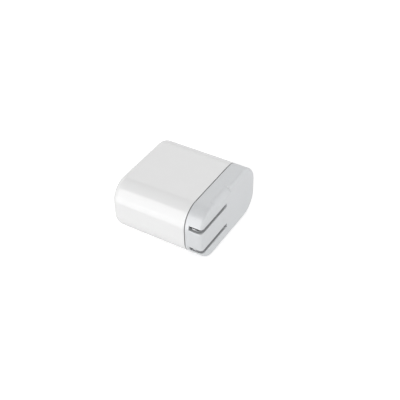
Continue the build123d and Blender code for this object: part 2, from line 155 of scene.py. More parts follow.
def paint_gap_shade(
    tree: bpy.types.NodeTree, colour: bpy.types.NodeSocket, darkest: float
) -> bpy.types.NodeSocket:
    """Paints shade into a colour where a surface lies in a narrow gap, darker the more the gap closes over
    it.

    Args:
        tree: the material's node tree.
        colour: the socket that gives the colour in the open.
        darkest: what is left of the colour deep in a gap, from 0 to 1.

    Returns:
        The socket of the shaded colour.
    """
    openness = add_node(tree, "AmbientOcclusion", {"samples": GAP_SAMPLES, "Distance": GAP_REACH})
    kept = add_node(
        tree,
        "MapRange",
        {"From Min": GAP_CLOSED, "From Max": GAP_OPEN, "To Min": darkest, "To Max": 1.0},
        {"Value": openness.outputs["AO"]},
    )
    shaded = add_node(
        tree, "VectorMath", {"operation": "SCALE"}, {"Vector": colour, "Scale": kept.outputs["Result"]}
    )
    return shaded.outputs["Vector"]


def relief(
    tree: bpy.types.NodeTree, place: bpy.types.NodeSocket, pitch_mm: float, depth_mm: float
) -> bpy.types.NodeSocket:
    """Raises and sinks a surface in a fine, uneven pattern.

    Args:
        tree: the material's node tree.
        place: the socket that gives the pattern's coordinates.
        pitch_mm: the pattern's size in millimetres.
        depth_mm: its depth in millimetres.

    Returns:
        The socket of the changed normal.
    """
    pattern = add_node(tree, "TexNoise", {"Scale": 1 / (pitch_mm * MM), "Detail": 2.0}, {"Vector": place})
    bump = add_node(
        tree, "Bump", {"Strength": 1.0, "Distance": depth_mm * MM}, {"Height": pattern.outputs["Fac"]}
    )
    return bump.outputs["Normal"]


@dataclass(frozen=True)
class MouldedPlastic:
    """Injection-moulded plastic: an even colour, a soft gloss that wavers, and a fine skin.

    The mould leaves a faint orange peel some tenths of a millimetre across, and handling leaves the gloss
    (haze) and the colour (shade) uneven over some millimetres. A pigment of fine flakes adds specks and a
    little metal sheen (pearl). Real flakes are some hundredths of a millimetre across, too fine to show, so
    they are drawn coarser. In narrow gaps the colour is darkened with painted shade; the gap shade field is
    what is left of the colour deepest in a gap.
    """

    name: str
    colour: str
    roughness: float
    ior: float = 1.53
    peel_mm: float = 0.9
    peel_depth_mm: float = 0.002
    haze: float = 0.05
    haze_mm: float = 9.0
    least_roughness: float = 0.02
    shade: float = 0.012
    speck_mm: float = 0.0
    speck_shade: float = 0.04
    pearl: float = 0.0
    # Painted shade: what is left of the colour deep in a narrow gap.
    painted_gap_shade: float = 0.65

    def material(self) -> bpy.types.Material:
        """Builds the material.

        Returns:
            The node material, patterned on Object coordinates.
        """
        material, tree = new_material(self.name)
        place = add_node(tree, "TexCoord").outputs["Object"]
        cloud = add_node(
            tree, "TexNoise", {"Scale": 1 / (self.haze_mm * MM), "Detail": 3.0}, {"Vector": place}
        )
        smoothest = max(self.roughness - self.haze, self.least_roughness)
        gloss = add_node(
            tree,
            "MapRange",
            {"To Min": smoothest, "To Max": self.roughness + self.haze},
            {"Value": cloud.outputs["Fac"]},
        )
        tones = add_node(tree, "ValToRGB", links={"Fac": cloud.outputs["Fac"]})
        tones.color_ramp.elements[0].color = linear(self.colour, 1 - self.shade)
        tones.color_ramp.elements[1].color = linear(self.colour, 1 + self.shade)
        colour = tones.outputs["Color"]
        if self.speck_mm:
            speck = add_node(
                tree, "TexNoise", {"Scale": 1 / (self.speck_mm * MM), "Detail": 0.0}, {"Vector": place}
            )
            fleck = add_node(
                tree,
                "MapRange",
                {"To Min": 1 - self.speck_shade, "To Max": 1 + self.speck_shade},
                {"Value": speck.outputs["Fac"]},
            )
            mixed = add_node(
                tree,
                "VectorMath",
                {"operation": "SCALE"},
                {"Vector": colour, "Scale": fleck.outputs["Result"]},
            )
            colour = mixed.outputs["Vector"]
        # The base colour carries painted shade, darker in narrow gaps.
        shader = add_node(
            tree,
            "BsdfPrincipled",
            {"IOR": self.ior, "Metallic": self.pearl},
            {
                "Base Color": paint_gap_shade(tree, colour, self.painted_gap_shade),
                "Roughness": gloss.outputs["Result"],
                "Normal": relief(tree, place, self.peel_mm, self.peel_depth_mm),
            },
        )
        close_material(tree, shader)
        return material


@dataclass(frozen=True)
class RolledMetal:
    """Plated or bare metal strip: full metal, with fine lines along the rolling direction.

    The lines are drawn coarser than real ones, so that they show, and along is small for the axis that they
    follow. Storage and handling leave clouds some millimetres across, where the metal is duller and a little
    darker. Polished and dulled are the clouds' least and most roughness, as shares of the metal's own.
    """

    name: str
    colour: str
    roughness: float
    line_mm: float = 0.12
    along: tuple[float, float, float] = (1.0, 0.04, 1.0)
    line_depth_mm: float = 0.0015
    stain_mm: float = 5.0
    stain_brightness: float = 0.9
    polished: float = 0.75
    dulled: float = 1.3
    # Painted shade: what is left of the colour deep in a narrow gap.
    painted_gap_shade: float = 0.6

    def material(self) -> bpy.types.Material:
        """Builds the material.

        Returns:
            The node material, patterned on Object coordinates stretched along the strip.
        """
        material, tree = new_material(self.name)
        place = add_node(tree, "TexCoord").outputs["Object"]
        drawn = add_node(tree, "Mapping", {"Scale": self.along}, {"Vector": place})
        stain = add_node(
            tree, "TexNoise", {"Scale": 1 / (self.stain_mm * MM), "Detail": 4.0}, {"Vector": place}
        )
        gloss = add_node(
            tree,
            "MapRange",
            {"To Min": self.roughness * self.polished, "To Max": self.roughness * self.dulled},
            {"Value": stain.outputs["Fac"]},
        )
        tones = add_node(tree, "ValToRGB", links={"Fac": stain.outputs["Fac"]})
        tones.color_ramp.elements[0].color = linear(self.colour, self.stain_brightness)
        tones.color_ramp.elements[1].color = linear(self.colour)
        # The base colour carries painted shade, darker in narrow gaps.
        shader = add_node(
            tree,
            "BsdfPrincipled",
            {"Metallic": 1.0},
            {
                "Base Color": paint_gap_shade(tree, tones.outputs["Color"], self.painted_gap_shade),
                "Roughness": gloss.outputs["Result"],
                "Normal": relief(tree, drawn.outputs["Vector"], self.line_mm, self.line_depth_mm),
            },
        )
        close_material(tree, shader)
        return material


# ---------------------------------------------------------------- finishes
# ABS from a polished mould: a clean white with a mirror-like gloss, so soft lights show as bright bands.
SHELL_WHITE = MouldedPlastic("gloss_white_abs", "F2F2F2", 0.07, haze=0.015)
# ABS with a fine flake pigment, from a satin mould: a cool grey whose highlights are wide and dim.
CAP_GREY = MouldedPlastic("satin_silver_grey_abs", "DDDFE1", 0.30, peel_mm=0.5, speck_mm=0.25, pearl=0.05)
# Nickel plate over brass strip: grey metal whose reflections are drawn out across its fine lines.
NICKEL = RolledMetal("nickel_plated_brass", "A6A7A9", 0.25)
CAD_FINISHES = {
    # Filled with glass fibre: near black, dull, with a slightly coarse skin.
    "rotor_plastic": MouldedPlastic("glass_filled_nylon", "2A2A2C", 0.5, peel_depth_mm=0.006),
    # Moulded without pigment: warm off-white and waxy.
    "retainer_plastic": MouldedPlastic("natural_nylon", "E4E3DC", 0.45),
    # Dull zinc plate: a soft bluish grey.
    "screw_steel": RolledMetal("zinc_plated_steel", "A9ABAF", 0.35),
    # Bare bronze strip: warm copper tone with rolling lines.
    "spring_bronze": RolledMetal("phosphor_bronze_strip", "C08552", 0.3),
    # Bare hard steel strip: darker grey, fairly bright.
    "spring_steel": RolledMetal("spring_steel_strip", "9FA1A5", 0.28),
    # Lacquer over copper and glass cloth: deep green, slightly uneven, with a wet gloss.
    "board_green": MouldedPlastic("green_solder_mask", "1B5A2E", 0.32, peel_mm=0.6),
    # Smooth insulating film: honey yellow and glossy.
    "film_amber": MouldedPlastic("polyester_film", "C89A4C", 0.25),
    # Plated steel sheet: bright silver, with lines that run into the mouth.
    "port_steel": RolledMetal("nickel_plated_steel", "C9CACB", 0.25, along=(0.05, 1.0, 1.0)),
    # Heat-proof moulding: chalky warm white.
    "port_plastic": MouldedPlastic("white_nylon_insulator", "ECEBE6", 0.42),
    # Thin gold over bronze: yellow and bright.
    "contact_gold": RolledMetal("gold_plated_bronze", "D9AE5A", 0.2, along=(0.05, 1.0, 1.0)),
    # Pressed and fired powder: charcoal grey, grainy and dull.
    "ferrite": MouldedPlastic("sintered_ferrite", "242426", 0.55, peel_mm=0.3, peel_depth_mm=0.01),
    # Thermoset moulding: black with a low sheen.
    "bobbin_plastic": MouldedPlastic("black_phenolic", "1B1B1C", 0.4),
    # Wound tape: strong yellow with an even sheen.
    "winding_tape": MouldedPlastic("yellow_polyester_tape", "D9B92E", 0.35),
    # Shrunk sleeve: blue-black and glossy.
    "can_sleeve": MouldedPlastic("dark_pvc_sleeve", "23262E", 0.3),
    # Moulded fuse case: dark brown, half dull.
    "fuse_brown": MouldedPlastic("brown_moulded_case", "4A2A1C", 0.4),
    # Dipped lacquer over a ceramic disc: mid blue with a smooth gloss.
    "disc_blue": MouldedPlastic("blue_ceramic_lacquer", "2A5690", 0.3),
    # Epoxy round a chip: black and matt, with a fine grain.
    "chip_black": MouldedPlastic("black_moulding_epoxy", "161617", 0.5, peel_mm=0.2),
    "blade_nickel": NICKEL,
    "shell_white": SHELL_WHITE,
    "cap_grey": CAP_GREY,
}


# ---------------------------------------------------------------- mesh helpers
def add_block(mesh: bmesh.types.BMesh, low: Vector, high: Vector) -> None:
    """Adds a square-edged block to a mesh.

    Args:
        mesh: the mesh to change.
        low: the block's lowest corner.
        high: its highest corner.
    """
    place = Matrix.Translation((low + high) / 2) @ Matrix.Diagonal((*(high - low), 1))
    bmesh.ops.create_cube(mesh, size=1.0, matrix=place)


def block(low: Vector, high: Vector) -> bmesh.types.BMesh:
    """A square-edged block.

    Args:
        low: its lowest corner.
        high: its highest corner.

    Returns:
        The new mesh.
    """
    mesh = bmesh.new()
    add_block(mesh, low, high)
    return mesh


def rod(start: Vector, end: Vector, radius: float, segments: int = 64) -> bmesh.types.BMesh:
    """A round rod between two points.

    Args:
        start: the middle of one end.
        end: the middle of the other end.
        radius: the rod's radius.
        segments: facets round it.

    Returns:
        The new mesh.
    """
    mesh = bmesh.new()
    axis = end - start
    place = Matrix.Translation((start + end) / 2) @ axis.to_track_quat("Z", "Y").to_matrix().to_4x4()
    bmesh.ops.create_cone(
        mesh,
        cap_ends=True,
        segments=segments,
        radius1=radius,
        radius2=radius,
        depth=axis.length,
        matrix=place,
    )
    return mesh


def edges_along(mesh: bmesh.types.BMesh, axis: int) -> list[bmesh.types.BMEdge]:
    """The edges that run along one axis.

    Args:
        mesh: the mesh to search.
        axis: 0, 1 or 2 for X, Y or Z.

    Returns:
        Every edge whose ends differ on that axis alone.
    """
    found = []
    for edge in mesh.edges:
        step = edge.verts[0].co - edge.verts[1].co
        if abs(step[axis]) > STRAIGHT * step.length:
            found.append(edge)
    return found


def edges_at(mesh: bmesh.types.BMesh, axis: int, place: float) -> list[bmesh.types.BMEdge]:
    """The edges that lie in one plane across an axis.

    Args:
        mesh: the mesh to search.
        axis: 0, 1 or 2 for X, Y or Z.
        place: the plane's place on that axis.

    Returns:
        Every edge with both ends in the plane.
    """
    return [e for e in mesh.edges if all(abs(v.co[axis] - place) < FLAT for v in e.verts)]


def bevel(
    mesh: bmesh.types.BMesh,
    edges: list[bmesh.types.BMEdge],
    radius: float,
    segments: int,
    corners: str = "SHARP",
) -> None:
    """Rounds edges with circular arcs, or cuts them flat with one segment.

    Args:
        mesh: the mesh to change.
        edges: the edges to round.
        radius: the radius, or how far the flat reaches to each side.
        segments: facets across the round.
        corners: how rounds go past an outer corner, SHARP or ARC.
    """
    bmesh.ops.bevel(
        mesh,
        geom=edges,
        offset=radius,
        affect="EDGES",
        segments=segments,
        profile=0.5,
        material=-1,
        clamp_overlap=True,
        miter_outer=corners,
    )


def rounded_bar(low: Vector, high: Vector, radius: float, segments: int) -> bmesh.types.BMesh:
    """A block along X whose four long edges are rounded.

    Args:
        low: the block's lowest corner.
        high: the block's highest corner.
        radius: the long edges' radius.
        segments: facets in each quarter turn.

    Returns:
        The new mesh.
    """
    bar = block(low, high)
    bevel(bar, edges_along(bar, 0), radius, segments)
    return bar


def to_object(mesh: bmesh.types.BMesh, name: str) -> bpy.types.Object:
    """Turns a bmesh into a linked object at the origin.

    Args:
        mesh: the finished bmesh, which is freed.
        name: the object's name.

    Returns:
        The new object.
    """
    bmesh.ops.recalc_face_normals(mesh, faces=mesh.faces[:])
    data = bpy.data.meshes.new(name)
    mesh.to_mesh(data)
    mesh.free()
    thing = bpy.data.objects.new(name, data)
    bpy.context.scene.collection.objects.link(thing)
    return thing


def to_mesh(thing: bpy.types.Object) -> bmesh.types.BMesh:
    """Turns an object back into a bmesh.

    Args:
        thing: the object, which is removed.

    Returns:
        The bmesh.
    """
    mesh = bmesh.new()
    mesh.from_mesh(thing.data)
    bpy.data.objects.remove(thing)
    return mesh


class Cut(Enum):
    """What a tool body does to the piece."""

    REMOVE = "DIFFERENCE"
    ADD = "UNION"
    KEEP = "INTERSECT"


def carve(thing: bpy.types.Object, tool: bmesh.types.BMesh, cut: Cut = Cut.REMOVE) -> None:
    """Cuts a tool body out of a piece, joins it on, or keeps what both fill.

    Args:
        thing: the piece to change.
        tool: the tool body, which is used up.
        cut: what the tool body does.
    """
    cutter = to_object(tool, "tool_body")
    step = thing.modifiers.new("carve", "BOOLEAN")
    step.operation, step.solver, step.object = cut.value, "EXACT", cutter
    apply_modifiers(thing)
    bpy.data.objects.remove(cutter)


def apply_modifiers(thing: bpy.types.Object) -> None:
    """Replaces a piece's mesh by what its modifiers make of it.

    Args:
        thing: the piece to change.
    """
    bpy.context.view_layer.update()
    evaluated = thing.evaluated_get(bpy.context.evaluated_depsgraph_get())
    made = bpy.data.meshes.new_from_object(evaluated)
    thing.modifiers.clear()
    old, thing.data = thing.data, made
    bpy.data.meshes.remove(old)


def soften(thing: bpy.types.Object, radius: float, segments: int = 3) -> None:
    """Rounds a piece's sharp edges a little and shades it smooth, with flat faces kept flat.

    Args:
        thing: the piece to change.
        radius: the round's radius.
        segments: facets across the round.
    """
    mesh = bmesh.new()
    mesh.from_mesh(thing.data)
    bmesh.ops.remove_doubles(mesh, verts=mesh.verts[:], dist=NEAR)
    bmesh.ops.dissolve_degenerate(mesh, edges=mesh.edges[:], dist=NEAR)
    bmesh.ops.recalc_face_normals(mesh, faces=mesh.faces[:])
    sharp = [e for e in mesh.edges if e.is_manifold and e.calc_face_angle(0) > SHARP]
    bevel(mesh, sharp, radius, segments, "ARC")
    bmesh.ops.remove_doubles(mesh, verts=mesh.verts[:], dist=NEAR / 5)
    mesh.to_mesh(thing.data)
    mesh.free()
    thing.data.shade_smooth()
    thing.data.set_sharp_from_angle(angle=SHARP)
    weigh = thing.modifiers.new("flat_faces_stay_flat", "WEIGHTED_NORMAL")
    weigh.keep_sharp, weigh.weight = True, 100
    apply_modifiers(thing)


# ---------------------------------------------------------------- sub-assemblies
def finish_piece(piece: bpy.types.Object, finish: bpy.types.Material, node: str, body: Body) -> None:
    """Dresses a piece that stands for a CAD node, and seats it on its body.

    Args:
        piece: the finished piece.
        finish: its material.
        node: the CAD node that it replaces.
        body: the body that it rides on.
    """
    piece.data.materials.clear()
    piece.data.materials.append(finish)
    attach(piece, body.value)
    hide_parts(node)
    LOG.info("%s stands for %s: %d faces", piece.name, node, len(piece.data.polygons))


@dataclass
class Housing:
    """The two moulded outer pieces: the glossy shell, and the grey cap with its slots."""

    corner: float = 10.7 * MM
    segments: int = 28
    port_edge: float = 3.2 * MM
    port_edge_segments: int = 12
    inner_edge_segments: int = 6
    face_edge: float = 1.6 * MM
    face_edge_segments: int = 8
    wall: float = 1.8 * MM
    reveal_depth: float = 1.0 * MM
    reveal_width: float = 0.6 * MM
    rail: float = 1.2 * MM
    board_play: float = 0.1 * MM
    port_gap: float = 0.2 * MM
    port_corner: float = 1.0 * MM
    port_corner_segments: int = 6
    lip_play: float = 0.1 * MM
    lip_wall: float = 1.2 * MM
    lip_root: float = 0.5 * MM
    face_wall: float = 1.4 * MM
    pocket_wall: float = 1.0 * MM
    pocket_floor: float = 1.0 * MM
    slot_gap: float = 0.4 * MM
    fold_gap: float = 0.3 * MM
    end_play: float = 0.15 * MM
    saddle: float = 1.25 * MM
    saddle_segments: int = 48
    saddle_wall: float = 1.0 * MM
    hub: float = 1.0 * MM
    boss: float = 2.3 * MM
    pilot: float = 0.8 * MM
    pilot_segments: int = 32
    boss_offset: float = 7.0 * MM
    thumb_reach: float = 3.5 * MM
    thumb_drop: float = 3.5 * MM
    thumb_length: float = 14.5 * MM
    thumb_inset: float = 13.0 * MM
    thumb_runout: float = 0.2 * MM
    edge: float = 0.15 * MM

    def inset_bar(self, start: float, end: float, inset: float) -> bmesh.types.BMesh:
        """The housing's rounded outline, drawn in, between two places along X.

        Args:
            start: where the bar starts.
            end: where it ends.
            inset: how far it is drawn in.

        Returns:
            The new mesh.
        """
        low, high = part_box("body_shell")
        return rounded_bar(
            Vector((start, low.y + inset, low.z + inset)),
            Vector((end, high.y - inset, high.z - inset)),
            self.corner - inset,
            self.segments,
        )

    def build_shell(self) -> bpy.types.Object:
        """Builds the cup: round port end, two openings, board rails and the stepped rim.

        Returns:
            The finished mesh object.
        """
        low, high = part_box("body_shell")
        cup = self.inset_bar(low.x, high.x, 0)
        bevel(cup, edges_at(cup, 0, low.x), self.port_edge, self.port_edge_segments)
        shell = to_object(cup, "shell_cup")
        room = self.inset_bar(low.x + self.wall, high.x + CLEAR, self.wall)
        inner_edge = edges_at(room, 0, low.x + self.wall)
        bevel(room, inner_edge, self.port_edge - self.wall, self.inner_edge_segments)
        carve(shell, room)
        self.add_rails(shell)
        for side in ("right", "left"):
            mouth_low, mouth_high = self.mouth(side)
            hole = rounded_bar(
                mouth_low - Vector((2 * CLEAR, self.port_gap, self.port_gap)),
                mouth_high + Vector((0, self.port_gap, self.port_gap)),
                self.port_corner,
                self.port_corner_segments,
            )
            carve(shell, hole)
        start = high.x - self.reveal_width
        clear = Vector((CLEAR, CLEAR, CLEAR))
        carve(shell, block(Vector((start, low.y - CLEAR, low.z - CLEAR)), high + clear))
        carve(shell, self.rim(start - self.wall, high.x), Cut.ADD)
        soften(shell, self.edge)
        return shell

    def rim(self, start: float, end: float) -> bmesh.types.BMesh:
        """The thin ring inside the seam, which the fine dark line shows.

        Args:
            start: where the ring starts.
            end: the seam.

        Returns:
            The new mesh.
        """
        ring = to_object(self.inset_bar(start, end, self.reveal_depth), "rim")
        carve(ring, self.inset_bar(start - CLEAR, end + CLEAR, self.wall))
        return to_mesh(ring)

    def mouth(self, side: str) -> tuple[Vector, Vector]:
        """One receptacle's outline at the port end.

        Args:
            side: right or left.

        Returns:
            Its lowest and highest corners, through the shell's end wall.
        """
        low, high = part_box(f"usb_shell_{side}")
        return Vector((low.x, low.y, high.z - USB_HEIGHT)), Vector((low.x + self.wall, high.y, high.z))

    def add_rails(self, shell: bpy.types.Object) -> None:
        """Adds the two pairs of rails that hold the board's sides.

        Args:
            shell: the piece to change.
        """
        low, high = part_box("main_board")
        shell_low, shell_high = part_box("body_shell")
        inner = shell_high.y - self.wall
        for side in (-1, 1):
            near, far = sorted((side * (inner - self.rail), side * (inner + self.wall / 2)))
            for bottom in (low.z - self.rail, high.z + self.board_play):
                rail_low = Vector((shell_low.x + self.wall / 2, near, bottom))
                carve(shell, block(rail_low, Vector((high.x, far, bottom + self.rail))), Cut.ADD)

    def build_cap(self) -> bpy.types.Object:
        """Builds the cap: face, lip, the carrier behind the face, and every opening in it.

        Returns:
            The finished mesh object.
        """
        low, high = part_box("prong_cap")
        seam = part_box("body_shell")[1].x
        outer = self.inset_bar(seam, high.x, 0)
        bevel(outer, edges_at(outer, 0, high.x), self.face_edge, self.face_edge_segments)
        cap = to_object(outer, "prong_cap_moulding")
        lip_inset = self.wall + self.lip_play + self.lip_wall
        carve(cap, self.inset_bar(low.x, seam + self.lip_root, self.wall + self.lip_play), Cut.ADD)
        carve(cap, self.inset_bar(low.x - CLEAR, high.x - self.face_wall, lip_inset))
        carve(cap, self.carrier(), Cut.ADD)
        self.cut_pivot(cap)
        self.cut_slots(cap)
        carve(cap, self.thumb_tool())
        soften(cap, self.edge)
        return cap

    def pivot(self) -> Vector:
        """The middle of the fold axis."""
        low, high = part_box("prong_rotor")
        return (low + high) / 2

    def pocket_back(self) -> float:
        """Where the blade pockets end, behind the folded blades."""
        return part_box("prong_blade_upper")[0].x - self.fold_gap

    def room(self) -> float:
        """Half of the width that the blades' round butts need to turn in."""
        low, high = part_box("prong_blade_upper")
        return (high.x - low.x) / 2 + self.fold_gap

    def saddle_end(self) -> float:
        """Where the trunnions' saddles end, above and below the pivot."""
        low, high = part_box("prong_rotor")
        return (high.z - low.z) / 2 + self.end_play

    def carrier(self) -> bmesh.types.BMesh:
        """The blocks behind the face: two blade pockets, the block at the pivot, and two screw bosses.

        Returns:
            The new mesh.
        """
        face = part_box("prong_cap")[1].x
        start, end = self.pocket_back() - self.pocket_floor, face - self.face_wall / 2
        pivot, shell_low = self.pivot(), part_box("body_shell")[0]
        size = Vector((0, self.room() + self.saddle_wall, self.saddle_end() + self.saddle_wall))
        rib = block(Vector((start, pivot.y, pivot.z)) - size, Vector((end, pivot.y, pivot.z)) + size)
        carrier = to_object(rib, "carrier")
        for node in ("prong_blade_upper", "prong_blade_lower"):
            blade_low, blade_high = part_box(node)
            reach = self.slot_gap + self.pocket_wall
            pocket_end = blade_high.y + self.fold_gap + self.pocket_wall
            pocket = block(
                Vector((start, shell_low.y, blade_low.z - reach)),
                Vector((end, pocket_end, blade_high.z + reach)),
            )
            carve(carrier, pocket, Cut.ADD)
        for side in (-1, 1):
            middle = pivot + Vector((0, side * self.boss_offset, 0))
            boss = rod(Vector((start, middle.y, middle.z)), Vector((end, middle.y, middle.z)), self.boss)
            carve(carrier, boss, Cut.ADD)
        carve(carrier, self.inset_bar(start, end, self.wall), Cut.KEEP)
        return to_mesh(carrier)

    def cut_pivot(self, cap: bpy.types.Object) -> None:
        """Cuts the rotor's room, the saddles for its trunnions, and the screws' pilot holes.

        Args:
            cap: the piece to change.
        """
        pivot, face = self.pivot(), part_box("prong_cap")[1].x
        back = self.pocket_back() - self.pocket_floor - CLEAR
        half, reach = self.room(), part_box("prong_blade_upper")[1].z - pivot.z + self.hub + self.end_play
        cavity = block(
            Vector((back, pivot.y - half, pivot.z - reach)),
            Vector((face - self.face_wall, pivot.y + half, pivot.z + reach)),
        )
        carve(cap, cavity)
        end = Vector((0, 0, self.saddle_end()))
        carve(cap, rod(pivot - end, pivot + end, self.saddle, self.saddle_segments))
        channel = block(
            Vector((back, pivot.y - self.saddle, pivot.z - end.z)),
            Vector((pivot.x, pivot.y + self.saddle, pivot.z + end.z)),
        )
        carve(cap, channel)
        for side in (-1, 1):
            hole = Vector((back, pivot.y + side * self.boss_offset, pivot.z))
            bottom = Vector((face - 2 * self.face_wall, hole.y, hole.z))
            carve(cap, rod(hole, bottom, self.pilot, self.pilot_segments))

    def cut_slots(self, cap: bpy.types.Object) -> None:
        """Cuts the two blade slots through the face and the narrow side.

        Args:
            cap: the piece to change.
        """
        face, shell_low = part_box("prong_cap")[1].x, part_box("body_shell")[0]
        for node in ("prong_blade_upper", "prong_blade_lower"):
            blade_low, blade_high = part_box(node)
            slot = block(
                Vector((self.pocket_back(), shell_low.y - CLEAR, blade_low.z - self.slot_gap)),
                Vector((face + CLEAR, blade_high.y + self.fold_gap, blade_high.z + self.slot_gap)),
            )
            carve(cap, slot)

    def thumb_tool(self) -> bmesh.types.BMesh:
        """What the thumb dip takes away: a wider round than the front edge's own, with short run-outs.

        Its section is the corner's outside, down to a quarter round. That starts as wide as the edge's
        round, grows to the dip's reach and drop, and shrinks back at the far end.

        Returns:
            The new mesh.
        """
        edge = self.face_edge
        tool = bmesh.new()
        first = tool.verts.new((-edge, 0, 0))
        quarter = {"cent": (-edge, 0, -edge), "axis": (0, 1, 0), "angle": radians(90), "steps": self.segments}
        last = bmesh.ops.spin(tool, geom=[first], **quarter)["geom_last"][0]
        # The round has to end on the prong face to the last digit, or the cut leaves slivers there.
        last.co = (0, 0, -edge)
        steps = ((CLEAR, 0, -edge), (CLEAR, 0, CLEAR), (-edge, 0, CLEAR))
        outline = [last, *(tool.verts.new(step) for step in steps), first]
        for pair in zip(outline, outline[1:]):
            tool.edges.new(pair)
        bmesh.ops.edgeloop_fill(tool, edges=tool.edges[:])
        grow = Matrix.Diagonal((self.thumb_reach / edge, 1, self.thumb_drop / edge, 1))
        straight = self.thumb_length - 2 * self.thumb_runout
        runs = ((self.thumb_runout, grow), (straight, Matrix()), (self.thumb_runout, grow.inverted()))
        front = [*tool.verts, *tool.edges, *tool.faces]
        for length, size in runs:
            front = bmesh.ops.extrude_face_region(tool, geom=front)["geom"]
            moved = [part for part in front if isinstance(part, bmesh.types.BMVert)]
            bmesh.ops.transform(tool, matrix=Matrix.Translation((0, length, 0)) @ size, verts=moved)
        low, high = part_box("body_shell")
        corner = Vector((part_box("prong_cap")[1].x, low.y + self.thumb_inset, high.z))
        bmesh.ops.translate(tool, vec=corner, verts=tool.verts[:])
        return tool

    def build(self) -> None:
        """Builds and dresses both mouldings."""
        finish_piece(self.build_shell(), SHELL_WHITE.material(), "body_shell", Body.CHARGER)
        finish_piece(self.build_cap(), CAP_GREY.material(), "prong_cap", Body.CHARGER)


@dataclass
class Plug:
    """The two folding blades. The butt's round takes nearly the whole half width, so its ends stay apart."""

    butt_share: float = 0.9999
    butt_segments: int = 24
    tip: float = 1.6 * MM
    break_edge: float = 0.35 * MM
    hole: float = 1.55 * MM
    hole_from_tip: float = 4.2 * MM
    key: float = 2.6 * MM
    key_half_depth: float = 2.0 * MM
    edge: float = 0.08 * MM
    edge_segments: int = 2

    def build_blade(self, node: str) -> bpy.types.Object:
        """Builds one blade: round butt, bevelled tip, hole and key hole.

        Args:
            node: the CAD blade that it replaces.

        Returns:
            The finished mesh object.
        """
        low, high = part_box(node)
        half = (high.x - low.x) / 2
        plate = block(low, high)
        butt = [e for e in edges_along(plate, 2) if e.verts[0].co.y > low.y + half]
        bevel(plate, butt, half * self.butt_share, self.butt_segments)
        corners = [e for e in edges_along(plate, 2) if e.verts[0].co.y < low.y + NEAR]
        bevel(plate, corners, self.tip, 1)
        bmesh.ops.remove_doubles(plate, verts=plate.verts[:], dist=NEAR / 2)
        level = [e for e in plate.edges if abs(e.verts[0].co.z - e.verts[1].co.z) < NEAR]
        tip = [e for e in level if any(f.normal.y < -FACING for f in e.link_faces)]
        bevel(plate, tip, self.break_edge, 1)
        blade = to_object(plate, node.replace("prong", "plated"))
        middle = (low.x + high.x) / 2
        hole = Vector((middle, low.y + self.hole_from_tip, low.z - CLEAR))
        carve(blade, rod(hole, hole + Vector((0, 0, high.z - low.z + 2 * CLEAR)), self.hole))
        key = Vector((self.key / 2, self.key / 2, self.key_half_depth))
        pivot = Vector((middle, high.y - half, (low.z + high.z) / 2))
        carve(blade, block(pivot - key, pivot + key))
        soften(blade, self.edge, self.edge_segments)
        return blade

    def build(self) -> None:
        """Builds and dresses both blades."""
        finish = NICKEL.material()
        for node in ("prong_blade_upper", "prong_blade_lower"):
            finish_piece(self.build_blade(node), finish, node, Body.PRONGS)


